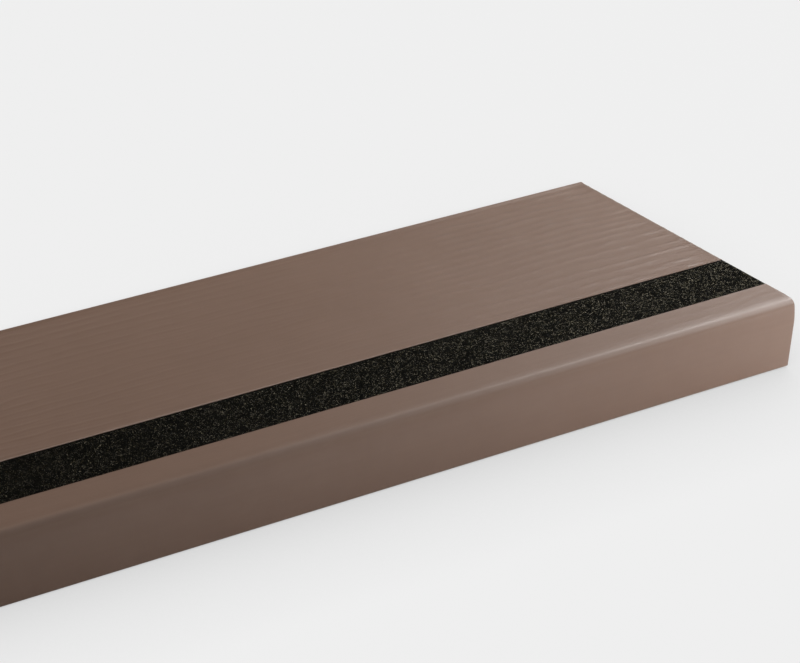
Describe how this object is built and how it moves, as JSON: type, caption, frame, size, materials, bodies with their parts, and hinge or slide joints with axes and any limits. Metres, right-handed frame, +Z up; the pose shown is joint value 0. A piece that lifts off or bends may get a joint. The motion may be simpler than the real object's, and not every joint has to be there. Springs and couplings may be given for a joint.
{
  "type": "rubber stair tread",
  "caption": "Long moulded rubber tread with a tapered top plate, a square nose that hooks over a step's edge and a black abrasive strip seated along its top face.",
  "frame": {"origin": "middle of the tread's box at floor level, with the free tread resting on its nose's toe and on its back edge", "axes": "+X along the tread's length, towards its right end seen from the nose; +Y from the nose to the back edge, level; +Z up. The plate slopes down to the back by 10.9 degrees about X"},
  "size_m": [0.9144, 0.265, 0.0542],
  "materials": {
    "tread_rubber": "satin moulded taupe-brown rubber with a shallow grained top face",
    "grit_strip": "coarse black mineral grit bonded in a black rubber carrier"
  },
  "bodies": {
    "root": {"tread": "tread_rubber", "grit_strip": "grit_strip"}
  },
  "joints": []
}
